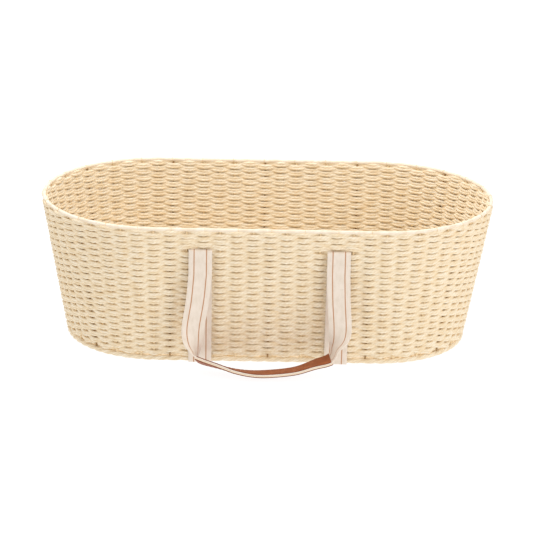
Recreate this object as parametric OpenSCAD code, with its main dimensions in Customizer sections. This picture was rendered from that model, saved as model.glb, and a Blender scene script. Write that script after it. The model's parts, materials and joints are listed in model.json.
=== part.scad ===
// Moses basket: a tapered oval basket of paired paper cord woven round wire and cord stakes,
// with two striped cotton straps under it and two tape handles with leather-faced grips.
// X runs along the basket, Y across it, and the floor is z = 0.

/* [Basket] */
// Overall length at the rim
body_l = 800; // [640:10:960]
// Overall width at the rim
body_w = 420; // [340:10:500]
// Height from the floor to the top of the rim rope
body_h = 260; // [210:5:330]
// How far the wall leans out between the floor and its top
flare = 44; // [20:2:60]

/* [Weave] */
// Thickness of the woven wall
wall_t = 11.5; // [10:0.5:16]
// Diameter of the paper stakes
stake_d = 3.4; // [2.6:0.1:4.2]
// Diameter of the upright and cross wires
wire_d = 3.2; // [2.4:0.1:4]
// Thickness of the woven base
base_t = 9.6; // [8:0.2:14]

/* [Rim and border] */
// Diameter of the rope round the rim
rope_d = 6.5; // [5:0.5:10]
// Diameter of the twisted border at the foot of the wall
border_d = 9; // [7:0.5:12]
// Diameter of the wire hoops inside the rope and the border
hoop_d = 3.2; // [2.4:0.1:4]
// Diameter of the cord that ties the rim rope
tie_d = 1.4; // [1:0.1:2]

/* [Tape] */
// Width of the cotton tape
tape_w = 40; // [30:1:50]
// Thickness of the cotton tape
tape_t = 2; // [1.2:0.1:3]
// Distance between the middles of the two straps
strap_gap = 236; // [180:2:300]
// How far the pair of straps sits to the right of the middle
strap_shift = 4; // [-10:1:10]
// Depth of the strap slots below the top of the rim
slot_drop = 42; // [36:1:70]

/* [Grip] */
// Thickness of each leather strip
leather_t = 1.4; // [1:0.1:2]
// Thickness of the stiffener under the tape
core_t = 2; // [1:0.1:3]
// Width of the leather and the stiffener
grip_w = 39; // [28:1:46]
// Length of one stitch
stitch_l = 5; // [3:0.5:6]
// Distance from one stitch to the next
stitch_pitch = 8; // [7:0.5:12]

/* [Hidden] */
$fn = 96;

paper = "burlywood";
rope_c = "wheat";
steel = "darkgray";
cotton = "antiquewhite";
tan_leather = "sienna";
thread_c = "peru";

bays = 12;           // spaces between the upright wires
per_bay = 6;         // stakes and wires to a bay
bands = 3;           // groups of weft rows, the last one above the strap slots
fit_gap = 0.2;       // room between pieces that rest on each other
swing_gap = 1.2;     // from a fold line to the end of the tape beside it
tie_h = 3.4;         // bare stakes between the weave and the rim rope
lay_gap = 0.002 * tape_w;  // between the tape and what is sewn to it

straight = (body_l - body_w) / 2;      // half the straight part of each long side
base_r = body_w / 2 - flare;
wall_top = body_h - rope_d - tie_h;
lean = atan(flare / wall_top);
weft_gap = stake_d + 0.4;              // space between the outer and the inner side of the weave

border_r = border_d / 2;
border_z = tape_t + fit_gap + border_r;
border_c = wall_out(border_z) - border_r / cos(lean);
rope_z = body_h - rope_d / 2;
stake_z0 = border_z + border_r + 0.3;
stake_z1 = body_h - rope_d - 0.05;
stake_foot = 4;                        // bare stakes between the border and the first row

slot_z = body_h - slot_drop;           // middle of the strap where it turns into the wall
slot_h = 2 * tape_t + 1.5;
slot_top = slot_z - tape_t / 2 - 0.5 + slot_h;
weave_z0 = stake_z0 + stake_foot;
weave_z1 = wall_top;
base_z0 = tape_t + fit_gap;
base_mid = base_z0 + border_r;

hinge_z = slot_z + tape_t;
hinge_r = wall_out(hinge_z) + fit_gap + tape_t + 1.8;
fold_l = body_h - hinge_z + 1.9;       // from the slot hinge to the fold that crosses the rim
strap_l = strap_shift - strap_gap / 2;
strap_r = strap_shift + strap_gap / 2;

// Outer and middle radius of the wall at height z
function wall_out(z) = base_r + flare * z / wall_top;
function wall_mid(z) = wall_out(z) - wall_t / 2;

// The stakes stand at equal steps round the middle of the wall at the rim
rim_r = wall_mid(wall_top);
half_turn = PI * rim_r;
way_round = 4 * straight + 2 * half_turn;
stake_step = way_round / (bays * per_bay);
function on_way(i) = (i * stake_step + strap_shift + way_round) % way_round;
function end_turn(a) = (a - straight) / rim_r * 180 / PI;
function stake_x(a) =
    a < straight ? a
    : a < straight + half_turn ? straight
    : a < 3 * straight + half_turn ? 2 * straight + half_turn - a
    : a < 3 * straight + 2 * half_turn ? -straight
    : a - way_round;
function stake_turn(a) =
    a < straight ? -90
    : a < straight + half_turn ? -90 + end_turn(a)
    : a < 3 * straight + half_turn ? 90
    : a < 3 * straight + 2 * half_turn ? 90 + end_turn(a - 2 * straight - half_turn)
    : -90;

// Sweeps a (radius, height) outline round the whole oval
module around() {
    for (side = [-1, 1]) {
        translate([side * straight, 0, 0])
            rotate([0, 0, -90 * side])
                rotate_extrude(angle = 180)
                    children();
        mirror([0, (1 - side) / 2, 0])
            translate([-straight, 0, 0])
                rotate([90, 0, 90])
                    linear_extrude(2 * straight)
                        children();
    }
}

// A rod that stands on the middle of the wall at distance a round the oval
module upright(a, d, z0, z1) {
    translate([stake_x(a), 0, 0])
        rotate([0, 0, stake_turn(a)])
            translate([wall_mid(z0), 0, z0])
                rotate([0, lean, 0])
                    cylinder(h = (z1 - z0) / cos(lean), d = d);
}

module upright_wire(i) {
    color(steel) upright(on_way(i * per_bay), wire_d, stake_z0, stake_z1);
}

// The paper stakes of the bays from first to last
module stakes(first, last) {
    color(paper)
        for (bay = [first : last], k = [1 : per_bay - 1])
            upright(on_way(bay * per_bay + k), stake_d, stake_z0, stake_z1);
}

// One side of the weave between two heights, r0 to r1 out from the middle of the wall,
// parted at the upright wires
module weave_side(r0, r1, z0, z1) {
    difference() {
        around()
            polygon([
                [wall_mid(z0) + r0, z0],
                [wall_mid(z0) + r1, z0],
                [wall_mid(z1) + r1, z1],
                [wall_mid(z1) + r0, z1]
            ]);
        for (i = [0 : bays - 1])
            translate([stake_x(on_way(i * per_bay)), 0, 0])
                rotate([0, 0, stake_turn(on_way(i * per_bay))])
                    translate([base_r / 2, -fit_gap / 2, 0])
                        cube([body_w / 2, fit_gap, body_h]);
    }
}

function band_z(k) = k == bands ? weave_z1
    : weave_z0 + (slot_top - weave_z0) * k / (bands - 1);

module weave_band(k) {
    z0 = band_z(k - 1);
    z1 = band_z(k);
    color(paper) {
        difference() {
            weave_side(weft_gap / 2, wall_t / 2, z0, z1);
            if (k == bands - 1) strap_slots();
        }
        weave_side(-wall_t / 2, -weft_gap / 2, z0, z1);
    }
}

module strap_slots() {
    depth = body_w + 20;
    for (x = [strap_l, strap_r])
        translate([x - tape_w / 2 - 1, -depth / 2, slot_top - slot_h])
            cube([tape_w + 2, depth, slot_h + 1]);
}

module rim_hoop() {
    color(steel)
        around()
            translate([wall_mid(rope_z), rope_z]) circle(d = hoop_d);
}

module rim_rope() {
    color(rope_c)
        around()
            translate([wall_mid(rope_z), rope_z])
                difference() {
                    circle(d = rope_d);
                    circle(d = hoop_d);
                }
}

// Loops of cord round the rim rope, one beside every second stake
module rim_ties() {
    beside = (stake_d + tie_d) / 2 + fit_gap;
    color(rope_c)
        for (i = [0 : 2 : bays * per_bay - 1])
            let (a = on_way(i) + beside)
                translate([stake_x(a), 0, rope_z])
                    rotate([0, 0, stake_turn(a)])
                        translate([wall_mid(rope_z), 0, 0])
                            rotate([90, 0, 0])
                                rotate_extrude()
                                    translate([(rope_d + tie_d) / 2 + fit_gap / 2, 0]) circle(d = tie_d);
}

module base_hoop() {
    color(steel)
        around()
            translate([border_c, border_z]) circle(d = hoop_d);
}

module base_border() {
    color(rope_c)
        around()
            translate([border_c, border_z])
                difference() {
                    circle(d = border_d);
                    circle(d = hoop_d);
                }
}

// Oval plate between two heights, out to radius r
module oval_plate(r, z0, z1) {
    translate([0, 0, z0])
        linear_extrude(z1 - z0) {
            square([2 * straight, 2 * r], center = true);
            for (side = [-1, 1])
                translate([side * straight, 0]) circle(r = r);
        }
}

base_edge = border_c - sqrt(border_r * border_r - weft_gap * weft_gap / 4) - 0.05;

module base_weave() {
    color(paper) {
        oval_plate(base_edge, base_mid - base_t / 2 + 0.3, base_mid - weft_gap / 2);
        oval_plate(base_edge, base_mid + weft_gap / 2, base_mid + base_t / 2);
    }
}

// Half the width of the base at distance x along it
function base_half(x) = abs(x) < straight ? base_edge
    : sqrt(base_edge * base_edge - pow(abs(x) - straight, 2));

module base_rod(x, d) {
    reach = base_half(abs(x) + d / 2) - 0.5;
    translate([x, -reach, base_mid])
        rotate([-90, 0, 0])
            cylinder(h = 2 * reach, d = d);
}

// The cross wires stand under the upright wires of the long sides
cross_end = straight + base_edge * sin(end_turn(2 * per_bay * stake_step));
function cross_x(k) = k == 1 ? -cross_end : k == 5 ? cross_end
    : strap_shift + (k - 3) * per_bay * stake_step;

module base_cross_wire(k) {
    color(steel) base_rod(cross_x(k), wire_d);
}

// Cord stakes across the base, between one cross wire and the next
module base_stakes() {
    color(paper)
        for (k = [1 : 4], part = [1 : 4])
            base_rod(cross_x(k) + (cross_x(k + 1) - cross_x(k)) * part / 5, stake_d);
}

// Points of the strap's side d away from its middle, from under the basket up the wall
turn_r = border_r + fit_gap + tape_t / 2;
function strap_side(d) = [
    for (a = [-90 : 9 : 0])
        let (b = min(a, -lean))
            [border_c + (turn_r + d) * cos(b), border_z + (turn_r + d) * sin(b)]
];
function on_strap(z, d) = wall_out(z) + (fit_gap + tape_t / 2 + d) / cos(lean);
function flip(points) = [for (i = [len(points) - 1 : -1 : 0]) [-points[i][0], points[i][1]]];
function back(points) = [for (i = [len(points) - 1 : -1 : 0]) points[i]];

module strap(x) {
    half = tape_t / 2;
    top = slot_z + half;
    inner = wall_mid(slot_z) + weft_gap / 2 + 0.4;
    front = concat(
        strap_side(half),
        [[on_strap(top, half), top], [inner, top], [inner, top - tape_t]],
        [[on_strap(top - tape_t, -half), top - tape_t]],
        back(strap_side(-half))
    );
    color(cotton)
        translate([x - tape_w / 2, 0, 0])
            rotate([90, 0, 90])
                linear_extrude(tape_w) {
                    polygon(front);
                    polygon(flip(front));
                    translate([-border_c, 0]) square([2 * border_c, tape_t]);
                }
}

// Stations of the hanging handle, from the left fold line to the right one:
// [x, out from the slot hinge, height, turn of the width from -X over -Y to +X, tip of the outer edge]
fold_z = hinge_z - fold_l;
leg_h = fold_z - swing_gap;
floor_z = leather_t + core_t + lay_gap + tape_t / 2;
stations = [
    [strap_l, 0, leg_h, 0, 0],
    [strap_l - 4, 2, leg_h * 0.74, 4, 0],
    [strap_l - 11, 8, leg_h * 0.48, 12, 2],
    [strap_l - 11, 12, leg_h * 0.34, 34, 8],
    [strap_l - 8, 10.5, leg_h * 0.235, 62, 18],
    [strap_l - 3, 9.5, floor_z + 23, 83, 29],
    [strap_l + 32, 14.5, floor_z + 13, 90, 24],
    [strap_l + 68, 25, floor_z + 7, 90, 17],
    [strap_shift - 10, 28, floor_z + 5, 90, 11],
    [strap_r - 74, 22.5, floor_z + 9, 90, 9],
    [strap_r - 38, 14, floor_z + 18.5, 91, 4],
    [strap_r - 10, 6, floor_z + 26, 96, -1],
    [strap_r - 2, 6, leg_h * 0.27, 118, 0],
    [strap_r + 4, 8, leg_h * 0.37, 146, 2],
    [strap_r + 5, 6, leg_h * 0.5, 168, 0],
    [strap_r + 2, 2, leg_h * 0.74, 176, 0],
    [strap_r, 0, leg_h, 180, 0]
];
last_station = len(stations) - 1;
grip_from = 5;
grip_to = 11;

// Smooth curve through the stations, u counts stations
function station(i) = stations[max(0, min(last_station, i))];
function blend4(a, b, c, d, t) =
    0.5 * (2 * b + (c - a) * t + (2 * a - 5 * b + 4 * c - d) * t * t + (3 * b - a - 3 * c + d) * t * t * t);
function along(u) =
    let (i = min(last_station - 1, floor(u)))
        blend4(station(i - 1), station(i), station(i + 1), station(i + 2), u - i);
function centre(u) = let (s = along(u)) [s[0], -hinge_r - s[1], s[2]];
function wide(u) = let (s = along(u))
    [-cos(s[3]) * cos(s[4]), -sin(s[3]) * cos(s[4]), sin(s[4])];
function unit(v) = v / norm(v);
function heading(u) = unit(centre(min(last_station, u + 0.05)) - centre(max(0, u - 0.05)));
function facing(u) = unit(cross(wide(u), heading(u)));
function spot(u, w, n) = centre(u) + w * wide(u) + n * facing(u);

// A strip of the handle from u0 to u1, w0 to w1 across it and n0 to n1 through it
module strip(u0, u1, steps, w0, w1, n0, n1) {
    points = [
        for (k = [0 : steps])
            let (u = u0 + (u1 - u0) * k / steps)
                each [spot(u, w0, n0), spot(u, w1, n0), spot(u, w1, n1), spot(u, w0, n1)]
    ];
    end = 4 * steps;
    sides = [
        for (k = [0 : steps - 1], j = [0 : 3])
            let (a = 4 * k + j, b = 4 * k + (j + 1) % 4)
                each j == 0 ? [[a, b, a + 4], [b, b + 4, a + 4]] : [[a, b, b + 4], [a, b + 4, a + 4]]
    ];
    caps = [[0, 2, 1], [0, 3, 2], [end, end + 1, end + 2], [end, end + 2, end + 3]];
    polyhedron(points, concat(sides, caps));
}

// The front and the rear handle are alike and face away from each other
module at(end) {
    mirror([0, end, 0]) children();
}

tape_top = tape_t / 2;
core_low = -tape_top - lay_gap - core_t;
leather_low = core_low - leather_t;
leather_top = tape_top + lay_gap + leather_t;

module handle_tape(end) {
    color(cotton)
        at(end)
            strip(0, last_station, 4 * last_station, -tape_w / 2, tape_w / 2, -tape_top, tape_top);
}

module grip_core(end) {
    color(cotton)
        at(end)
            strip(grip_from, grip_to, 24, -grip_w / 2, grip_w / 2, core_low, -tape_top - lay_gap);
}

module grip_top(end) {
    color(tan_leather)
        at(end)
            strip(grip_from, grip_to, 24, -grip_w / 2, grip_w / 2, tape_top + lay_gap, leather_top);
}

module grip_bottom(end) {
    color(tan_leather)
        at(end)
            strip(grip_from, grip_to, 24, -grip_w / 2, grip_w / 2, leather_low, core_low);
}

// Two rows of stitches on each leather face, sunk a little into the leather
stitch_sink = 0.4;
grip_l = norm(centre(grip_from) - centre(8)) + norm(centre(8) - centre(grip_to));
stitch_n = floor(grip_l / stitch_pitch) - 1;
module grip_stitching(end) {
    du = (grip_to - grip_from) / (stitch_n + 1);
    length = du * stitch_l / stitch_pitch;
    edge = grip_w / 2 - 3;
    color(thread_c)
        at(end)
            for (k = [0 : stitch_n], row = [-edge, edge]) {
                u = grip_from + du * (k + 0.2);
                strip(u, u + length, 1, row - 0.4, row + 0.4, leather_top - stitch_sink, leather_top + 0.3);
                strip(u, u + length, 1, row - 0.4, row + 0.4, leather_low - 0.3, leather_low + stitch_sink);
            }
}

// The short piece of tape between the slot hinge and the fold line
module tape_lower(x, end) {
    color(cotton)
        at(end)
            translate([x - tape_w / 2, -hinge_r - tape_t / 2, fold_z + swing_gap])
                cube([tape_w, tape_t, fold_l - 2 * swing_gap]);
}

rim_hoop();
rim_rope();
rim_ties();
base_hoop();
base_border();
upright_wire(0);  // upright_wire_1
upright_wire(1);  // upright_wire_2
upright_wire(2);  // upright_wire_3
upright_wire(3);  // upright_wire_4
upright_wire(4);  // upright_wire_5
upright_wire(5);  // upright_wire_6
upright_wire(6);  // upright_wire_7
upright_wire(7);  // upright_wire_8
upright_wire(8);  // upright_wire_9
upright_wire(9);  // upright_wire_10
upright_wire(10);  // upright_wire_11
upright_wire(11);  // upright_wire_12
stakes(-2, 1);  // stakes_front
stakes(2, 3);  // stakes_right_end
stakes(4, 7);  // stakes_rear
stakes(8, 9);  // stakes_left_end
weave_band(1);  // weave_band_1
weave_band(2);  // weave_band_2
weave_band(3);  // weave_band_3
base_weave();
base_stakes();
base_cross_wire(1);  // base_cross_wire_1
base_cross_wire(2);  // base_cross_wire_2
base_cross_wire(3);  // base_cross_wire_3
base_cross_wire(4);  // base_cross_wire_4
base_cross_wire(5);  // base_cross_wire_5
strap(strap_l);  // strap_left
strap(strap_r);  // strap_right
tape_lower(strap_l, 0);  // front_tape_lower_left
tape_lower(strap_r, 0);  // front_tape_lower_right
handle_tape(0);  // front_handle_tape
grip_core(0);  // front_grip_core
grip_top(0);  // front_grip_top
grip_bottom(0);  // front_grip_bottom
grip_stitching(0);  // front_grip_stitching
tape_lower(strap_l, 1);  // rear_tape_lower_left
tape_lower(strap_r, 1);  // rear_tape_lower_right
handle_tape(1);  // rear_handle_tape
grip_core(1);  // rear_grip_core
grip_top(1);  // rear_grip_top
grip_bottom(1);  // rear_grip_bottom
grip_stitching(1);  // rear_grip_stitching
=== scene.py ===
import json
import math

import bpy
import numpy as np
from mathutils import Matrix, Vector


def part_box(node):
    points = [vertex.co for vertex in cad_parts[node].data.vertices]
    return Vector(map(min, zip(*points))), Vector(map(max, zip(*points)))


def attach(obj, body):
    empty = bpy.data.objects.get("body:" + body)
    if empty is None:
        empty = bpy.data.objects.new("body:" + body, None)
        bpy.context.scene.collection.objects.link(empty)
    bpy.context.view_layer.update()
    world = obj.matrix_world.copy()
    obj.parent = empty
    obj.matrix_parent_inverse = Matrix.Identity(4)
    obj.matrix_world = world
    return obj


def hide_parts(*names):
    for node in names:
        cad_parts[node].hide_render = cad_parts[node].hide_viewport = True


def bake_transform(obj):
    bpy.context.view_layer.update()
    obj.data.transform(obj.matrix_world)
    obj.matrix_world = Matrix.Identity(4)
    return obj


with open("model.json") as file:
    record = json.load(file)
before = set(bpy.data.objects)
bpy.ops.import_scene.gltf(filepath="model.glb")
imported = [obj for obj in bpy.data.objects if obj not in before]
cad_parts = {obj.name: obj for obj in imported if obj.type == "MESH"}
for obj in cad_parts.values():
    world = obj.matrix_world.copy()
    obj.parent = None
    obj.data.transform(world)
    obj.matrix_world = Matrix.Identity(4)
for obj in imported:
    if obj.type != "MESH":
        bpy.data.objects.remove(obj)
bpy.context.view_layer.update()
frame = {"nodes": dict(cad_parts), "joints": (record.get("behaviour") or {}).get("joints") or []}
mm = 0.001

# the camera comes first, then the room round the basket
camera = {
    "lens": 164.3,
    "sensor": 36,
    "distance": 4.355,
    "elevation": math.radians(19.25),
    "turn": -0.007,
    "roll": 0.020,
    "aim": Vector((0, 0, 0.1295)),
    "drop": 0.0077,  # how far the eye sits below the aim, square to the view
    "near": 0.1,
    "far": 60,
}


def makeCamera(c):
    data = bpy.data.cameras.new("camera")
    data.lens, data.sensor_width = c["lens"], c["sensor"]
    data.clip_start, data.clip_end = c["near"], c["far"]
    eye = bpy.data.objects.new("camera", data)
    bpy.context.scene.collection.objects.link(eye)
    flat = math.cos(c["elevation"])
    back = Vector((math.sin(c["turn"]) * flat, -math.cos(c["turn"]) * flat, math.sin(c["elevation"])))
    aimed = (-back).to_track_quat("-Z", "Y").to_matrix().to_4x4()
    aimed = aimed @ Matrix.Rotation(c["roll"], 4, "Z")
    up = aimed @ Vector((0, 1, 0))
    eye.matrix_world = Matrix.Translation(c["aim"] - up * c["drop"] + back * c["distance"]) @ aimed
    bpy.context.scene.camera = eye


makeCamera(camera)
print("camera made")

studio = {
    "world": 0.74,
    "floor": 0.12,
    "floorGlow": 0.94,
    "floorSize": 30,
    "key": 44,
    "keySize": 2.6,
    "keyPlace": (3.0, -2.6, 2.3),
    "fill": 34,
    "fillSize": 1.4,
    "fillPlace": (-0.5, 0.15, 2.4),
    "aim": (0, 0, 0.1),
}


def noSelection():
    if bpy.context.object and bpy.context.object.mode != "OBJECT":
        bpy.ops.object.mode_set(mode="OBJECT")
    bpy.ops.object.select_all(action="DESELECT")


def pick(piece):
    noSelection()
    piece.select_set(True)
    bpy.context.view_layer.objects.active = piece


class Wire:  # a shader socket that can be used in sums
    def __init__(self, tree, socket):
        self.tree, self.socket = tree, socket

    def feed(self, slot, value):
        if isinstance(value, Wire):
            self.tree.links.new(value.socket, slot)
        else:
            slot.default_value = value

    def do(self, operation, *values, clamp=False):
        made = self.tree.nodes.new("ShaderNodeMath")
        made.operation, made.use_clamp = operation, clamp
        for slot, value in zip(made.inputs, values):
            self.feed(slot, value)
        return Wire(self.tree, made.outputs[0])

    def node(self, kind, settings=None, output=0, **inputs):
        made = self.tree.nodes.new(kind)
        for key, value in (settings or {}).items():
            setattr(made, key, value)
        for key, value in inputs.items():
            numbered = key[0] == "i" and key[1:].isdigit()
            self.feed(made.inputs[int(key[1:]) if numbered else key], value)
        return Wire(self.tree, made.outputs[output])

    def clamped(self, value):
        return self.do("MULTIPLY", value, 1.0, clamp=True)

    def noise(self, place, scale=1.0, detail=3.0, roughness=0.5):
        look = {"Vector": place, "Scale": scale, "Detail": detail, "Roughness": roughness}
        return self.node("ShaderNodeTexNoise", None, 0, **look)

    def streaks(self, along, across, scales, detail=3.0, roughness=0.5):  # noise drawn out along a strip
        place = self.node("ShaderNodeCombineXYZ", None, 0, X=along * scales[0], Y=across * scales[1], Z=0.0)
        return self.noise(place, 1.0, detail, roughness)

    def mix(self, share, first, second):
        return self.node("ShaderNodeMix", {"data_type": "RGBA"}, 2, i0=share, i6=first, i7=second)

    def __add__(self, other):
        return self.do("ADD", self, other)

    def __radd__(self, other):
        return self.do("ADD", other, self)

    def __sub__(self, other):
        return self.do("SUBTRACT", self, other)

    def __rsub__(self, other):
        return self.do("SUBTRACT", other, self)

    def __mul__(self, other):
        return self.do("MULTIPLY", self, other)

    def __rmul__(self, other):
        return self.do("MULTIPLY", other, self)

    def __truediv__(self, other):
        return self.do("DIVIDE", self, other)

    def sine(self):
        return self.do("SINE", self)


def linear(red, green, blue):  # a screen colour, 0 to 255, as light
    def one(c):
        c /= 255
        return c / 12.92 if c <= 0.04045 else ((c + 0.055) / 1.055) ** 2.4

    return (one(red), one(green), one(blue))


def rgba(colour):
    return (*colour, 1)


def newMaterial(name, roughness=0.8, sheen=0.0, specular=0.3):
    made = bpy.data.materials.new(name)
    made.use_nodes = True
    shader = made.node_tree.nodes["Principled BSDF"]
    shader.inputs["Roughness"].default_value = roughness
    shader.inputs["Sheen Weight"].default_value = sheen
    shader.inputs["Specular IOR Level"].default_value = specular
    return made, shader, Wire(made.node_tree, None)


def finishMaterial(start, shader, colour, height, strength, depth, roughness=None):
    start.feed(shader.inputs["Base Color"], colour)
    if roughness is not None:
        start.feed(shader.inputs["Roughness"], roughness)
    bump = start.node("ShaderNodeBump", None, 0, Strength=strength, Distance=depth, Height=height)
    start.feed(shader.inputs["Normal"], bump)


def cordPlace(start):  # metres along the cord or strip, and its other coordinate
    spot = start.node("ShaderNodeUVMap", {"uv_map": "cord"})
    along = start.node("ShaderNodeSeparateXYZ", None, 0, Vector=spot)
    return along, Wire(start.tree, along.socket.node.outputs[1])


paper = {
    "light": linear(249, 235, 210),
    "warm": linear(241, 220, 185),
    # colour of the painted shade in the twist's grooves, also used for random darker fibres
    "deep": linear(223, 192, 146),
    "twist": 7.5 * mm,
    "plies": 3,
    "groove": 0.75,
    "bump": 0.5,
    "depth": 0.3 * mm,
    "washes": 42,  # slow changes of colour in a metre
    "fibres": (900, 9),
}
rope = dict(paper, twist=11 * mm, plies=2, groove=0.3, bump=0.18)
rope.update(light=linear(247, 234, 215), warm=linear(240, 222, 197), deep=linear(232, 206, 168))


def paperMaterial(name, p):
    made, shader, start = newMaterial(name, sheen=0.05)
    along, around = cordPlace(start)
    turn = (along / p["twist"] + around * p["plies"]) * (2 * math.pi)
    ridge = turn.sine() * 0.5 + 0.5
    oneWay = {"noise_dimensions": "1D"}
    slow = start.node("ShaderNodeTexNoise", oneWay, 0, W=along * p["washes"], Detail=2.0, Scale=1.0)
    fibre = start.streaks(along, around, p["fibres"], roughness=0.6)
    tone = start.clamped((slow - 0.36) * 3.2)
    colour = start.mix(tone, rgba(p["light"]), rgba(p["warm"]))
    # painted shade: darker in the twist's grooves, mixed with random fibre tone
    groove = start.clamped((0.42 - ridge) * p["groove"] + (fibre - 0.5) * 0.5)
    colour = start.mix(groove, colour, rgba(p["deep"]))
    height = ridge * 0.8 + fibre * 0.4
    finishMaterial(start, shader, colour, height, p["bump"], p["depth"], 0.74 + fibre * 0.2)
    return made


paperCord = paperMaterial("paper_cord", paper)
rimPaper = paperMaterial("rim_paper", rope)

stake = {
    "light": linear(246, 226, 190),
    # colour of the painted shade in the twist's valleys, and of the random grain
    "dark": linear(222, 188, 138),
    "roughness": 0.85,
    "metallic": 0.0,
    "pitch": 4 * mm,
    "slant": 900,
    "grain": 380,
    "bump": 0.35,
    "depth": 0.2 * mm,
}
wire = dict(stake, light=linear(176, 142, 98), dark=linear(142, 108, 68))
wire.update(roughness=0.6, metallic=0.05, pitch=9 * mm)


def stakeMaterial(name, s):
    made, shader, start = newMaterial(name, s["roughness"])
    shader.inputs["Metallic"].default_value = s["metallic"]
    spot = start.node("ShaderNodeTexCoord", None, 3)
    x = start.node("ShaderNodeSeparateXYZ", None, 0, Vector=spot)
    y, z = (Wire(start.tree, x.socket.node.outputs[i]) for i in (1, 2))
    ridge = ((x + y) * s["slant"] + z * (2 * math.pi / s["pitch"])).sine() * 0.5 + 0.5
    grain = start.noise(spot, s["grain"])
    # painted shade: darker in the twist's valleys, mixed with random grain
    share = start.clamped((1 - ridge) * 0.55 + (grain - 0.5) * 1.2)
    colour = start.mix(share, rgba(s["light"]), rgba(s["dark"]))
    finishMaterial(start, shader, colour, ridge * 0.6 + grain * 0.5, s["bump"], s["depth"])
    return made


stakePaper = stakeMaterial("stake_paper", stake)
wireSteel = stakeMaterial("wire_steel", wire)

cloth = {
    "cream": linear(238, 224, 209),
    "shade": linear(225, 209, 190),
    "rust": linear(186, 124, 76),
    "stripes": (0.235, 0.765),  # shares of the tape's width
    "stripe": 1.1 * mm,
    "stripeEdge": 0.35 * mm,
    "thread": 0.9 * mm,
    "twill": 5 * mm,  # the ribs turn back after this much of the width
    "soft": (60, 140),
    "fuzz": (2500, 900),
    "bump": 0.35,
    "depth": 0.25 * mm,
}


def tapeMaterial(name, c, width):
    made, shader, start = newMaterial(name, 0.9, 0.25)
    shader.inputs["Sheen Roughness"].default_value = 0.5
    along, across = cordPlace(start)
    scale = math.pi / c["thread"]
    turned = start.do("PINGPONG", across, c["twill"])
    rib = start.do("ABSOLUTE", (along * scale + turned * scale).sine())
    warp = start.do("ABSOLUTE", (across * scale).sine())
    soft = start.streaks(along, across, c["soft"])
    fuzz = start.streaks(along, across, c["fuzz"], detail=2.0)
    tone = start.clamped((soft - 0.42) * 2.2 + (1 - rib) * 0.35 + (fuzz - 0.5) * 0.4)
    colour = start.mix(tone, rgba(c["cream"]), rgba(c["shade"]))
    stripes = 0.0
    for share in c["stripes"]:
        away = start.do("ABSOLUTE", across - share * width)
        stripes = start.clamped((c["stripe"] - away) / c["stripeEdge"]) + stripes
    colour = start.mix(stripes * (0.75 + rib * 0.2), colour, rgba(c["rust"]))
    height = rib * 0.6 + warp * 0.3 + fuzz * 0.25
    finishMaterial(start, shader, colour, height, c["bump"], c["depth"])
    return made


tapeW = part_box("strap_left")[1].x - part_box("strap_left")[0].x
cottonTape = tapeMaterial("cotton_tape", cloth, tapeW)

canvas = {
    "light": linear(250, 232, 208),
    "dark": linear(228, 199, 164),
    "rib": 1.1 * mm,
    "grain": 420,
    "bump": 0.3,
    "depth": 0.2 * mm,
}


def canvasMaterial(c):
    made, shader, start = newMaterial("canvas_core", 0.92, 0.2)
    along = cordPlace(start)[0]
    rib = (along * (2 * math.pi / c["rib"])).sine() * 0.5 + 0.5
    grain = start.noise(start.node("ShaderNodeTexCoord", None, 3), c["grain"])
    colour = start.mix(grain * 0.5 + rib * 0.15, rgba(c["light"]), rgba(c["dark"]))
    finishMaterial(start, shader, colour, rib * 0.5 + grain * 0.4, c["bump"], c["depth"])
    return made


canvasCore = canvasMaterial(canvas)

hide = {
    "tan": linear(160, 85, 43),
    "brown": linear(131, 64, 30),
    "edge": linear(118, 60, 30),
    "width": 39 * mm,
    "worn": 1.3 * mm,  # the darker band along each edge
    "wornEdge": 1.2 * mm,
    "cells": 900,
    "pores": 1600,
    "mottle": 55,
    "pull": (70, 420),
    "bump": 0.25,
    "depth": 0.25 * mm,
}


def leatherMaterial(h):
    made, shader, start = newMaterial("tan_leather", specular=0.4)
    along, across = cordPlace(start)
    spot = start.node("ShaderNodeTexCoord", None, 3)
    smooth = {"feature": "SMOOTH_F1"}
    cells = start.node("ShaderNodeTexVoronoi", smooth, 0, Vector=spot, Scale=h["cells"])
    pores = start.noise(spot, h["pores"])
    mottle = start.noise(spot, h["mottle"], 4.0, 0.6)
    pull = start.streaks(along, across, h["pull"], detail=2.0)
    tone = start.clamped((mottle - 0.35) * 1.9 + (pull - 0.5) * 0.5)
    colour = start.mix(tone, rgba(h["tan"]), rgba(h["brown"]))
    away = start.do("ABSOLUTE", across - h["width"] / 2)
    worn = start.clamped((away - (h["width"] / 2 - h["worn"])) / h["wornEdge"])
    colour = start.mix(worn * 0.6, colour, rgba(h["edge"]))
    height = cells * -0.5 + pores * 0.35 + pull * 0.2
    finishMaterial(start, shader, colour, height, h["bump"], h["depth"], 0.46 + mottle * 0.2)
    return made


tanLeather = leatherMaterial(hide)

thread = {
    "light": linear(178, 112, 66),
    "dark": linear(140, 82, 44),
    "plies": 5200,  # along x
    "bump": 0.4,
    "depth": 0.1 * mm,
}


def threadMaterial(t):
    made, shader, start = newMaterial("sewing_thread", 0.6)
    spot = start.node("ShaderNodeTexCoord", None, 3)
    x = start.node("ShaderNodeSeparateXYZ", None, 0, Vector=spot)
    ply = (x * t["plies"]).sine() * 0.5 + 0.5
    colour = start.mix(ply * 0.6, rgba(t["light"]), rgba(t["dark"]))
    finishMaterial(start, shader, colour, ply, t["bump"], t["depth"])
    return made


sewingThread = threadMaterial(thread)
print("materials made")

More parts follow.
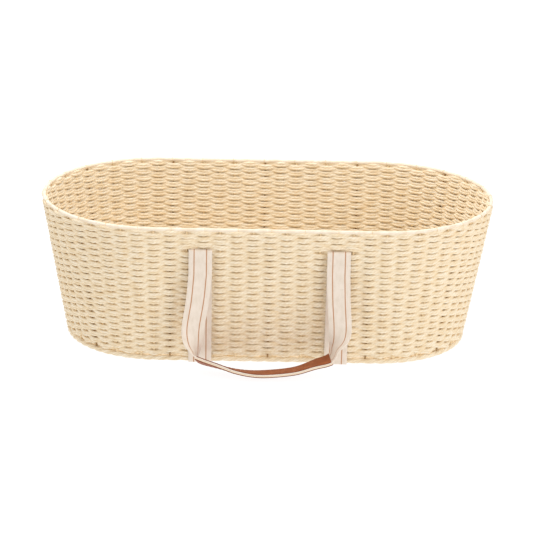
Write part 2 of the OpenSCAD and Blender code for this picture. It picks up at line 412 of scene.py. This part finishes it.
# the oval that the whole basket follows
lowBand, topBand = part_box("weave_band_1"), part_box("weave_band_3")
rimBox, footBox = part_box("rim_rope"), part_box("base_border")
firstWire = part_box("upright_wire_1")
oval = {
    "straight": topBand[1].x - topBand[1].y,
    "wall": 11.5 * mm,
    "stakes": 72,
    "start": (firstWire[0].x + firstWire[1].x) / 2,
}
slope = (topBand[1].y - lowBand[1].y) / (topBand[1].z - lowBand[1].z)


def wallMid(z):
    return topBand[1].y + (z - topBand[1].z) * slope - oval["wall"] / 2


rimMid = wallMid(topBand[1].z)
halfTurn = math.pi * rimMid
wayRound = 4 * oval["straight"] + 2 * halfTurn
stakeStep = wayRound / oval["stakes"]


def onOval(a, radius, z):  # points a metres round the oval
    a = np.mod(a, wayRound)
    straight = oval["straight"]
    corners = np.array([straight, straight + halfTurn, 3 * straight + halfTurn, 3 * straight + 2 * halfTurn])
    part = np.searchsorted(corners, a, side="right")
    none, half = 0 * a, math.pi + 0 * a
    middle = [a, none + straight, 2 * straight + halfTurn - a, none - straight, a - wayRound]
    turned = [none, (a - corners[0]) / rimMid, half, half + (a - corners[2]) / rimMid, none]
    middle, angle = np.choose(part, middle), np.choose(part, turned) - math.pi / 2
    return np.stack([middle + radius * np.cos(angle), radius * np.sin(angle), z + 0 * a], 1)


def tubes(name, routes, radius, sides=8, closed=True, swell=None, offsets=None):
    data = bpy.data.curves.new(name, "CURVE")
    data.dimensions, data.fill_mode, data.twist_mode = "3D", "FULL", "Z_UP"
    data.bevel_depth, data.bevel_resolution = radius, sides // 2 - 2
    for n, route in enumerate(routes):
        spline = data.splines.new("POLY")
        spline.points.add(len(route) - 1)
        spline.points.foreach_set("co", np.hstack([route, np.ones((len(route), 1))]).ravel())
        if swell is not None:
            spline.points.foreach_set("radius", swell[n])
        spline.use_cyclic_u = closed
    piece = bpy.data.objects.new(name, data)
    bpy.context.scene.collection.objects.link(piece)
    pick(piece)
    bpy.ops.object.convert(target="MESH")
    piece = bpy.context.object
    piece.name = piece.data.name = name
    cordUv(piece.data, routes, sides, closed, offsets)
    bpy.ops.object.shade_smooth()
    if not closed:
        bpy.ops.object.mode_set(mode="EDIT")
        bpy.ops.mesh.select_all(action="SELECT")
        bpy.ops.mesh.fill_holes(sides=0)
        bpy.ops.object.mode_set(mode="OBJECT")
    return piece


def cordUv(mesh, routes, sides, closed, offsets):  # metres along a cord, and the share of a turn
    ring, turn, strand, along = [], [], [], []
    for n, route in enumerate(routes):
        count = len(route)
        step = np.linalg.norm(np.roll(route, -1, 0) - route, axis=1)
        way = np.concatenate([[0], np.cumsum(step)])
        ring.append(np.repeat(np.arange(count), sides))
        turn.append(np.tile(np.arange(sides), count))
        strand.append(np.full(count * sides, n))
        along.append(way + (offsets[n] if offsets is not None else 0.37 * n))
    ring, turn, strand = (np.concatenate(v) for v in (ring, turn, strand))
    if len(mesh.vertices) != len(ring):
        raise RuntimeError(f"{mesh.name} has {len(mesh.vertices)} points, and not {len(ring)}")
    corner = np.zeros(len(mesh.loops), int)
    mesh.loops.foreach_get("vertex_index", corner)
    starts = np.zeros(len(mesh.polygons), int)
    sizes = np.zeros(len(mesh.polygons), int)
    mesh.polygons.foreach_get("loop_start", starts)
    mesh.polygons.foreach_get("loop_total", sizes)
    face = np.repeat(np.arange(len(starts)), sizes)
    ringAt, turnAt, strandAt = ring[corner], turn[corner], strand[corner]
    counts = np.array([len(r) for r in routes])
    highRing, highTurn = np.zeros(len(starts), int), np.zeros(len(starts), int)
    np.maximum.at(highRing, face, ringAt)
    np.maximum.at(highTurn, face, turnAt)
    quad = sizes[face] == 4
    ringAt = np.where(quad & (ringAt == 0) & (highRing[face] > 1) & closed, counts[strandAt], ringAt)
    turnAt = np.where(quad & (turnAt == 0) & (highTurn[face] > 1), sides, turnAt)
    length = np.zeros(len(corner))
    for n in range(len(routes)):
        mine = strandAt == n
        length[mine] = along[n][ringAt[mine]]
    newUv(mesh, length, turnAt / sides)


def newUv(mesh, first, second):
    for other in list(mesh.uv_layers):
        mesh.uv_layers.remove(other)
    layer = mesh.uv_layers.new(name="cord")
    layer.data.foreach_set("uv", np.stack([first, second], 1).ravel())


def paint(piece, material):
    piece.data.materials.clear()
    piece.data.materials.append(material)


def give(piece, body, material, slot, *nodes):
    paint(piece, material)
    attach(piece, body)
    if nodes:
        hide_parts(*nodes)
    return piece


def wobble(rng, places, count, amount):  # smooth random drift, one value to each stake
    values = rng.uniform(-1, 1, count)
    k = np.floor(places).astype(int) % count
    f = places - np.floor(places)
    f = f * f * (3 - 2 * f)
    return amount * (values[k] * (1 - f) + values[(k + 1) % count] * f)


# the woven wall: rows of paired cord that pass in front of and behind the stakes by turns
weave = {
    "rows": 40,
    "low": 14.6 * mm,
    "high": 253.8 * mm,
    "tighten": 0.08,  # the rows stand closer towards the rim
    "cord": 5.4 * mm,
    "reach": 3.0 * mm,  # from the middle of the wall to a cord in front of a stake
    "stacked": 2.36 * mm,  # half the height between the two cords at a stake
    "crossed": 0.25,  # the same between two stakes, as a share of the rows' pitch
    "roomy": 5.8 * mm,  # rows with a smaller pitch are pressed closer at the stakes
    "abreast": 0.5 * mm,
    "flatten": 1.4,
    "sag": 1.2 * mm,
    "sagShare": 0.36,  # the part of the sag that both faces have
    "stray": 0.22 * mm,
    "drift": 0.45 * mm,  # of both cords together
    "driftStakes": 6,
    "fuller": 0.06,  # of some columns
    "fullerRows": 9,
    "uneven": 0.04,
    "seeds": {"drift": 6000, "fuller": 300, "cord": 7000},
    "samples": 8,
    "sides": 8,
    "pieces": 5,
    "nodes": ["weave_band_1", "weave_band_1", "weave_band_2", "weave_band_2", "weave_band_3"],
    "slotRow": 34,  # this row passes behind the stake at each strap slot
}
strapMid = [sum(v.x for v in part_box(n)) / 2 for n in ("strap_left", "strap_right")]
slotEdge = {"away": 21, "wide": 9, "middle": 13, "middleShare": 0.2}  # in millimetres
slotRise = {-7: -0.5, -5: -1.2, -4: -0.6, -3: -2.5, -2: -1.3, -1: -4.5, 0: 3.6, 1: 0.5, 2: 1.0, 3: 0.2}


def rowHeight(row):
    t = (row + 0.5) / weave["rows"]
    return weave["low"] + (weave["high"] - weave["low"]) * (t + weave["tighten"] * t * (1 - t))


def rowPitch(row):
    return rowHeight(row + 0.5) - rowHeight(row - 0.5)


def slotLift(row, x, onSide):  # rows give way where a strap goes through the wall
    rise = slotRise.get(row - weave["slotRow"], 0.0) * mm
    total = np.zeros_like(x)
    for middle in strapMid:
        away = np.abs(x - middle) / mm
        edge = np.exp(-0.5 * ((away - slotEdge["away"]) / slotEdge["wide"]) ** 2)
        centre = np.exp(-0.5 * (away / slotEdge["middle"]) ** 2)
        even = (row - weave["slotRow"]) % 2 == 0
        total += rise * (np.maximum(edge, slotEdge["middleShare"] * centre) if even else centre)
    return total * onSide


def cordRoute(row, side, a, place, drift):  # one of a row's two cords, with its share of thickness
    rng = np.random.default_rng(weave["seeds"]["cord"] + row * 10 + side)
    stakes, z = oval["stakes"], rowHeight(row)
    phase = np.cos(math.pi * (place + row + 1))
    atStake = np.abs(phase) ** weave["flatten"]
    flat = np.sign(phase) * atStake
    crossed = weave["crossed"] * rowPitch(row)
    crowd = min(1.0, rowPitch(row) / weave["roomy"])
    apart = crossed + (weave["stacked"] * crowd - crossed) * atStake
    sag = weave["sag"] * (weave["sagShare"] + (1 - weave["sagShare"]) * flat) * (phase**2 - 0.5)
    out = weave["reach"] * flat + side * weave["abreast"] * np.sqrt(np.maximum(0, 1 - phase**2))
    out += wobble(rng, place, stakes, weave["stray"])
    height = z + side * apart - sag
    height = height + wobble(rng, place, stakes, weave["stray"]) + drift
    level = onOval(a, wallMid(z), z)[:, 0]
    onSide = (np.abs(level) < oval["straight"]).astype(float)
    outer = np.clip(out / (2 * mm), 0, 1)
    height = height + slotLift(row, level, onSide * outer)
    thick = 1 + wobble(rng, place, stakes, weave["uneven"])
    return onOval(a, wallMid(height) + out, height), thick, rng.uniform(-0.03, 0.02)


def weaveRows(number, first, last):
    routes, swell, offsets = [], [], []
    count = oval["stakes"] * weave["samples"]
    a = np.arange(count) / count * wayRound
    place = (a - oval["start"]) / stakeStep
    stakes, every, seeds = oval["stakes"], weave["driftStakes"], weave["seeds"]
    for row in range(first, last):
        rng = np.random.default_rng(seeds["drift"] + row)
        drift = wobble(rng, place / every, stakes // every, weave["drift"])
        rng = np.random.default_rng(seeds["fuller"] + row // weave["fullerRows"])
        fuller = wobble(rng, place, stakes, weave["fuller"])
        for side in (1, -1):
            route, thick, extra = cordRoute(row, side, a, place, drift)
            routes.append(route)
            swell.append(thick + fuller + extra)
            offsets.append(row * 2.31 + side * 0.61 + 3)
    piece = tubes(f"weave_rows_{number}", routes, weave["cord"] / 2, weave["sides"], True, swell, offsets)
    give(piece, "root", paperCord, "paper_cord", weave["nodes"][number - 1])
    print("wove rows", first, "to", last - 1)


perPiece = weave["rows"] // weave["pieces"]
for n in range(weave["pieces"]):
    weaveRows(n + 1, n * perPiece, (n + 1) * perPiece)

# the rope round the rim, and the loops that tie it to every second stake
rim = {
    "points": 720,
    "sides": 12,
    "waver": 0.2 * mm,
    "uneven": 0.04,
    "seed": 11,
    "tie": 0.42 * mm,
    "tieGap": 0.15 * mm,
    "tieBeside": 2.6 * mm,
    "tieTurns": (20, 6),
    "everyStake": 2,
}
ropeR = (rimBox[1].z - rimBox[0].z) / 2
ropeZ = (rimBox[1].z + rimBox[0].z) / 2
ropeOut = rimBox[1].y - ropeR


def rimRope():
    rng = np.random.default_rng(rim["seed"])
    a = np.arange(rim["points"]) / rim["points"] * wayRound
    place, stakes = a / stakeStep, oval["stakes"]
    out = ropeOut + wobble(rng, place, stakes, rim["waver"])
    up = ropeZ - np.abs(wobble(rng, place, stakes, rim["waver"]))
    swell = [1 - np.abs(wobble(rng, place, stakes, rim["uneven"]))]
    piece = tubes("rim_cord", [onOval(a, out, up)], ropeR, rim["sides"], True, swell)
    give(piece, "root", rimPaper, "paper_rope", "rim_rope")


def rimTies():
    noSelection()
    loops = []
    for i in range(0, oval["stakes"], rim["everyStake"]):
        a = np.array([i * stakeStep + oval["start"] + rim["tieBeside"]])
        at, ahead = onOval(a, ropeOut, ropeZ)[0], onOval(a + 1 * mm, ropeOut, ropeZ)[0]
        turn = Vector(ahead - at).to_track_quat("Z", "Y").to_euler()
        bpy.ops.mesh.primitive_torus_add(
            location=at, rotation=turn, major_segments=rim["tieTurns"][0], minor_segments=rim["tieTurns"][1],
            major_radius=ropeR + rim["tieGap"], minor_radius=rim["tie"])
        loops.append(bpy.context.object)
    for loop in loops:
        loop.select_set(True)
    bpy.context.view_layer.objects.active = loops[0]
    bpy.ops.object.join()
    piece = bpy.context.object
    bpy.ops.object.transform_apply(location=True, rotation=True, scale=True)
    bpy.ops.object.shade_smooth()
    piece.name = piece.data.name = "rim_loops"
    give(piece, "root", stakePaper, "paper_rope", "rim_ties")


rimRope()
rimTies()
print("rim made")

# the twisted border at the foot
foot = {"strands": 3, "lay": 64 * mm, "perTurn": 22, "cord": 2.5 * mm, "sides": 8}
footR = (footBox[1].z - footBox[0].z) / 2
footZ = (footBox[1].z + footBox[0].z) / 2
footOut = footBox[1].y - footR


def footBorder():
    turns = round((4 * oval["straight"] + 2 * math.pi * footOut) / foot["lay"])
    count = turns * foot["perTurn"]
    a = np.arange(count) / count * wayRound
    routes = []
    for strand in range(foot["strands"]):
        spin = 2 * math.pi * (np.arange(count) / count * turns + strand / foot["strands"])
        out = (footR - foot["cord"]) * np.cos(spin)
        up = (footR - foot["cord"]) * np.sin(spin)
        routes.append(onOval(a, footOut + out, footZ + up))
    piece = tubes("foot_border", routes, foot["cord"], foot["sides"])
    give(piece, "root", paperCord, "paper_rope", "base_border")


footBorder()

# the woven base: pairs of cord along the basket, over and under the cross wires and stakes
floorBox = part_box("base_weave")
base = {
    "pair": 6.8 * mm,
    "cord": 1.95 * mm,
    "reach": 2.6 * mm,
    "flatten": 1.4,
    "sides": 6,
    "step": 4.3 * mm,
    "between": 4,
    "overlap": 1 * mm,  # with the border
    "sway": 0.25 * mm,
    "swayStep": 34 * mm,
    "swayCount": 50,
    "swayShift": 20,
    "seed": 500,
}
crossX = [sum(v.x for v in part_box(f"base_cross_wire_{k}")) / 2 for k in range(1, 6)]


def wovenBase():
    stakesX = []
    bays = base["between"] + 1
    for left, right in zip(crossX, crossX[1:]):
        stakesX += [left + (right - left) * k / bays for k in range(bays)]
    stakesX.append(crossX[-1])
    stakesX = np.array(stakesX)
    order = np.arange(len(stakesX))
    middle = (floorBox[0].z + floorBox[1].z) / 2
    edge = footOut - footR + base["overlap"]
    rows = int(edge / base["pair"])
    routes = []
    for row in range(-rows, rows + 1):
        for side in (1, -1):
            y = row * base["pair"] + side * base["pair"] / 4
            if abs(y) > edge - base["cord"]:
                continue
            reach = oval["straight"] + math.sqrt(edge**2 - y**2)
            x = np.linspace(-reach, reach, int(2 * reach / base["step"]))
            place = np.interp(x, stakesX, order)
            rng = np.random.default_rng(base["seed"] + row * 2 + side)
            wave = np.tanh(base["flatten"] * np.cos(math.pi * (place + row))) / math.tanh(base["flatten"])
            up = base["reach"] * wave
            sway = wobble(rng, x / base["swayStep"] + base["swayShift"], base["swayCount"], base["sway"])
            routes.append(np.stack([x, y + sway, middle + up], 1))
    piece = tubes("base_rows", routes, base["cord"], base["sides"], False)
    give(piece, "root", paperCord, "paper_cord", "base_weave")


wovenBase()
print("foot and base made")


def unit(v):
    return v / np.linalg.norm(v, axis=-1, keepdims=True)


def wayAlong(points):
    return np.concatenate([[0], np.cumsum(np.linalg.norm(np.diff(points, axis=0), axis=1))])


def lengthOf(centres):
    return float(np.linalg.norm(np.diff(centres, axis=0), axis=1).sum())


# strips of tape and leather: a grid laid along a path, then given its thickness
def strip(name, centres, wides, normals, width, thick, across=8, soften=0.35 * mm, lift=None):
    count = len(centres) - 1
    noSelection()
    bpy.ops.mesh.primitive_grid_add(x_subdivisions=count, y_subdivisions=across, size=1)
    piece = bpy.context.object
    mesh = piece.data
    flat = np.array([v.co for v in mesh.vertices])
    i = np.rint((flat[:, 0] + 0.5) * count).astype(int)
    share = flat[:, 1]
    spots = centres[i] + wides[i] * (share * width)[:, None]
    if lift is not None:
        spots = spots + normals[i] * lift(i / count, share)[:, None]
    mesh.vertices.foreach_set("co", spots.astype(np.float32).ravel())
    corner = np.zeros(len(mesh.loops), int)
    mesh.loops.foreach_get("vertex_index", corner)
    newUv(mesh, wayAlong(centres)[i[corner]], (share[corner] + 0.5) * width)
    mesh.update()
    piece.name = mesh.name = name
    solid = piece.modifiers.new("thickness", "SOLIDIFY")
    solid.thickness, solid.offset, solid.use_even_offset = thick, 0, False
    bpy.ops.object.modifier_apply(modifier="thickness")
    ends = np.zeros(len(mesh.edges) * 2, int)
    mesh.edges.foreach_get("vertices", ends)
    one, other = ends.reshape(-1, 2).T % len(flat)
    longEdge = (np.abs(share[one]) > 0.499) & (np.abs(share[other]) > 0.499) & (i[one] != i[other])
    weights = mesh.attributes.new("bevel_weight_edge", "FLOAT", "EDGE")
    weights.data.foreach_set("value", longEdge.astype(np.float32))
    bevel = piece.modifiers.new("edges", "BEVEL")
    bevel.width, bevel.segments, bevel.limit_method = soften, 2, "WEIGHT"
    bpy.ops.object.modifier_apply(modifier="edges")
    bpy.ops.object.mode_set(mode="EDIT")
    bpy.ops.mesh.select_all(action="SELECT")
    bpy.ops.mesh.normals_make_consistent(inside=False)
    bpy.ops.object.mode_set(mode="OBJECT")
    bpy.ops.object.shade_smooth_by_angle(angle=math.radians(50))
    return piece


def smoothPath(points, step):  # even steps along a line of points
    points = np.array(points, float)
    way = wayAlong(points)
    at = np.linspace(0, way[-1], max(2, int(way[-1] / step)))
    return np.stack([np.interp(at, way, points[:, k]) for k in range(points.shape[1])], 1)


def rounded(points, radius, steps=7):  # the corners of a line of points, cut round
    points = [np.array(p, float) for p in points]
    made = [points[0]]
    for before, corner, after in zip(points, points[1:], points[2:]):
        intoLength, outLength = np.linalg.norm(corner - before), np.linalg.norm(after - corner)
        reach = min(radius, intoLength * 0.49, outLength * 0.49)
        start = corner + (before - corner) / intoLength * reach
        end = corner + (after - corner) / outLength * reach
        for k in range(steps + 1):
            t = k / steps
            made.append(start * (1 - t) ** 2 + corner * 2 * t * (1 - t) + end * t**2)
    made.append(points[-1])
    return made


# the two straps, from slot to slot under the basket
hinges = {j["name"]: j for j in frame["joints"]}
slotZ = hinges["front_handle_lift"]["pos_m"][2]
hingeY = -hinges["front_handle_lift"]["pos_m"][1]
foldZ = hinges["front_handle_fold"]["pos_m"][2]
tape = {
    "thick": 2 * mm,
    "step": 3.2 * mm,
    "gap": 0.2 * mm,
    "into": 2.9 * mm,
    "bend": 2.5 * mm,
    "lowest": 10 * mm,  # the wall's straight part ends this far over the border's middle
    "turnSteps": 10,
}
lean = math.atan(slope)


def strapLine():  # from inside the front slot to the middle of the underside, as (y out, z)
    half = tape["thick"] / 2
    turn = footR + tape["gap"] + half
    strapZ = slotZ - tape["thick"]
    line = [[wallMid(strapZ) + tape["into"], strapZ]]
    for z in (strapZ, footZ + tape["lowest"]):
        line.append([wallMid(z) + oval["wall"] / 2 + (tape["gap"] + half) / math.cos(lean), z])
    line = rounded(line, tape["bend"])
    for k in range(tape["turnSteps"] + 1):
        angle = -lean - (math.pi / 2 - lean) * k / tape["turnSteps"]
        line.append([footOut + turn * math.cos(angle), footZ + turn * math.sin(angle)])
    line.append([0, half])
    return line


def makeStrap(name, node, x):
    half = strapLine()
    whole = half[:-1] + [[-y, z] for y, z in reversed(half[:-1])]
    line = smoothPath(whole, tape["step"])
    centres = np.stack([np.full(len(line), x), -line[:, 0], line[:, 1]], 1)
    way = unit(np.gradient(centres, axis=0))
    wides = np.tile([1.0, 0, 0], (len(line), 1))
    piece = strip(name, centres, wides, np.cross(wides, way), tapeW, tape["thick"])
    give(piece, "root", cottonTape, "cotton_tape", node)


makeStrap("strap_tape_left", "strap_left", strapMid[0])
makeStrap("strap_tape_right", "strap_right", strapMid[1])

# the hanging handles, in millimetres: x, out from the hinge, height, turn of the width, tip of its edge
strapL, strapR = (m / mm for m in strapMid)
middleX = (strapL + strapR) / 2
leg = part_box("front_handle_tape")[1].z / mm
leather, core, lay, halfTape = 1.4, 2.0, 0.08, 1
lowest = leather + core + lay + halfTape
stations = np.array([
    [strapL, 0, leg, 0, 0],
    [strapL - 4, 2, leg * 0.74, 4, 0],
    [strapL - 11, 8, leg * 0.48, 12, 2],
    [strapL - 11, 12, leg * 0.34, 34, 8],
    [strapL - 8, 10.5, leg * 0.235, 62, 18],
    [strapL - 3, 9.5, lowest + 23, 83, 29],
    [strapL + 32, 14.5, lowest + 13, 90, 24],
    [strapL + 68, 25, lowest + 7, 90, 17],
    [middleX - 10, 28, lowest + 5, 90, 11],
    [strapR - 74, 22.5, lowest + 9, 90, 9],
    [strapR - 38, 14, lowest + 18.5, 91, 4],
    [strapR - 10, 6, lowest + 26, 96, -1],
    [strapR - 2, 6, leg * 0.27, 118, 0],
    [strapR + 4, 8, leg * 0.37, 146, 2],
    [strapR + 5, 6, leg * 0.5, 168, 0],
    [strapR + 2, 2, leg * 0.74, 176, 0],
    [strapR, 0, leg, 180, 0],
])
grip = {"from": 5, "to": 11, "ahead": 0.05, "steps": 130, "across": 10, "soften": 0.45 * mm}


def stationAt(u):  # smooth curve through the stations
    u = np.asarray(u, float)
    last = len(stations) - 1
    i = np.clip(np.floor(u).astype(int), 0, last - 1)
    t = (u - i)[:, None]
    a, b, c, d = (stations[np.clip(i + k, 0, last)] for k in (-1, 0, 1, 2))
    return 0.5 * (2 * b + (c - a) * t + (2 * a - 5 * b + 4 * c - d) * t**2 + (3 * b - a - 3 * c + d) * t**3)


def handleFrame(u, end):  # centre, width and facing; end is 1 for the front handle and -1 for the rear
    s = stationAt(u)
    centre = np.stack([s[:, 0] * mm, -hingeY - s[:, 1] * mm, s[:, 2] * mm], 1)
    turn, tip = np.radians(s[:, 3]), np.radians(s[:, 4])
    wide = np.stack([-np.cos(turn) * np.cos(tip), -np.sin(turn) * np.cos(tip), np.sin(tip)], 1)
    later = stationAt(np.minimum(u + grip["ahead"], len(stations) - 1))
    sooner = stationAt(np.maximum(u - grip["ahead"], 0))
    step = (later - sooner)[:, :3] * [1, -1, 1]
    facing = unit(np.cross(wide, unit(step)))
    flip = np.array([1, end, 1])
    return centre * flip, wide * flip, facing * flip


def gripStrip(name, end, part, node, low, high, material, slot):  # low and high from the tape's middle
    u = np.linspace(grip["from"], grip["to"], grip["steps"] + 1)
    centre, wide, facing = handleFrame(u, end)
    middle = centre + facing * ((low + high) / 2 * mm)
    thick = (high - low) * mm
    across, soften = grip["across"], grip["soften"]
    piece = strip(f"{name}_{part}", middle, wide, facing, hide["width"], thick, across, soften)
    give(piece, f"{name}_handle_upper", material, slot, f"{name}_grip_{node}")


split = {
    "lower": 199 * mm,
    "upper": 157 * mm,
    "slotTurn": 18 * mm,
    "rimTurn": 17 * mm,
    "bend": 2.6 * mm,
    "lay": 0.1 * mm,
    "step": 1.6 * mm,
    "topSteps": 12,
    "fine": 1400,
    "gripStep": 2.4 * mm,
    "crease": 7 * mm,
    "creaseAt": 12.3,  # in stations
    "creaseLong": 0.75,
}


def tapeSheet(piece, body, length, held, rests, *nodes):
    paint(piece, cottonTape)
    if body:
        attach(piece, body)
    if nodes:
        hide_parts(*nodes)


def slotTape(name, end, side, x):
    out = hingeY - (wallMid(slotZ) + tape["into"])
    line = rounded([[-out, 0], [0, 0], [0, -(slotZ - split["lower"])]], split["bend"])
    line = smoothPath(line, split["step"])
    y, z = -(hingeY + line[:, 0]) * end, slotZ + split["lay"] + line[:, 1]
    centres = np.stack([np.full(len(line), x), y, z], 1)
    way = unit(np.gradient(centres, axis=0))
    wides = np.tile([-1.0 if side == "left" else 1.0, 0, 0], (len(line), 1))
    piece = strip(f"{name}_slot_tape_{side}", centres, wides, np.cross(wides, way), tapeW, tape["thick"])
    tapeSheet(piece, None, lengthOf(centres), "folded", [f"strap_tape_{side}"], f"{name}_tape_lower_{side}")
    -hingeY * end
    -hingeY * end
    slotZ - split["slotTurn"]
    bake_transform(piece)


def rimTape(name, end, side, x, centre, wide):  # from the slot tape down to the grip tape
    heights = np.linspace(split["lower"], centre[0, 2] + 1 * mm, split["topSteps"])
    whole = np.vstack([[[x, -hingeY * end, z] for z in heights], centre])
    wholeWide = np.vstack([np.tile(wide[0], (len(heights), 1)), wide])
    both = smoothPath(np.hstack([whole, wholeWide]), split["step"])
    centres, wides = both[:, :3], unit(both[:, 3:])
    way = unit(np.gradient(centres, axis=0))
    piece = strip(f"{name}_rim_tape_{side}", centres, wides, np.cross(wides, way), tapeW, tape["thick"])
    tapeSheet(piece, None, lengthOf(centres), "hung", [f"strap_tape_{side}"])
    -hingeY * end
    foldZ + split["rimTurn"]
    -hingeY * end
    foldZ - split["rimTurn"]
    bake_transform(piece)


def gripTape(name, end, fine, centre):
    way = wayAlong(centre)
    u = np.interp(np.linspace(0, way[-1], int(way[-1] / split["gripStep"])), way, fine)
    centres, wides, facings = handleFrame(u, end)

    def crease(t, share):  # the outer half rolls forward where the right leg turns into the grip
        here = np.interp(t, np.linspace(0, 1, len(u)), u)
        near = np.exp(-(((here - split["creaseAt"]) / split["creaseLong"]) ** 2))
        return split["crease"] * near * np.maximum(0, share) * 2

    thick = tape["thick"]
    piece = strip(f"{name}_grip_tape", centres, wides, facings, tapeW, thick, grip["across"], lift=crease)
    rests = [f"{name}_rim_tape_left", f"{name}_rim_tape_right"]
    tapeSheet(piece, f"{name}_handle_upper", lengthOf(centres), "hung", rests, f"{name}_handle_tape")


def makeHandle(name, end):
    fine = np.linspace(0, len(stations) - 1, split["fine"])
    centre, wide, _ = handleFrame(fine, end)
    below = centre[:, 2] < split["upper"]
    first, last = np.argmax(below), len(fine) - 1 - np.argmax(below[::-1])
    left, right = slice(0, first + 1), slice(None, last - 1, -1)  # each from the top down
    slotTape(name, end, "left", strapMid[0])
    rimTape(name, end, "left", strapMid[0], centre[left], wide[left])
    slotTape(name, end, "right", strapMid[1])
    rimTape(name, end, "right", strapMid[1], centre[right], wide[right])
    gripTape(name, end, fine[first : last + 1], centre[first : last + 1])
    top, bottom = halfTape + lay, -halfTape - lay
    gripStrip(name, end, "core", "core", bottom - core, bottom, canvasCore, "cotton_core")
    gripStrip(name, end, "leather_top", "top", top, top + leather, tanLeather, "tan_leather")
    under = bottom - core
    gripStrip(name, end, "leather_under", "bottom", under - leather, under, tanLeather, "tan_leather")
    paint(frame["nodes"][f"{name}_grip_stitching"], sewingThread)
    print(name, "handle made")


makeHandle("front", 1)
makeHandle("rear", -1)

# the CAD pieces that stay as they are
for node in ("stakes_front", "stakes_right_end", "stakes_rear", "stakes_left_end", "base_stakes"):
    paint(frame["nodes"][node], stakePaper)
for node in frame["nodes"]:
    if "_wire_" in node or node in ("rim_hoop", "base_hoop"):
        paint(frame["nodes"][node], wireSteel)
print("kept pieces painted")


def makeStudio(s):
    noSelection()
    bpy.ops.mesh.primitive_plane_add(size=s["floorSize"], location=(0, 0, 0))
    floor = bpy.context.object
    floor.name = "floor"
    made, shader, _ = newMaterial("floor_white", 0.9)
    shader.inputs["Base Color"].default_value = (s["floor"],) * 3 + (1,)
    shader.inputs["Emission Color"].default_value = (1, 1, 1, 1)
    shader.inputs["Emission Strength"].default_value = s["floorGlow"]
    paint(floor, made)
    world = bpy.data.worlds.new("studio")
    bpy.context.scene.world = world
    world.use_nodes = True
    world.node_tree.nodes["Background"].inputs["Color"].default_value = (1, 1, 1, 1)
    world.node_tree.nodes["Background"].inputs["Strength"].default_value = s["world"]
    for name in ("key", "fill"):
        data = bpy.data.lights.new(name, "AREA")
        data.energy, data.size = s[name], s[name + "Size"]
        lamp = bpy.data.objects.new(name, data)
        bpy.context.scene.collection.objects.link(lamp)
        lamp.location = s[name + "Place"]
        lamp.rotation_euler = (Vector(s["aim"]) - lamp.location).to_track_quat("-Z", "Y").to_euler()
    bpy.context.scene.view_settings.view_transform = "Standard"


makeStudio(studio)
noSelection()
print("studio made")
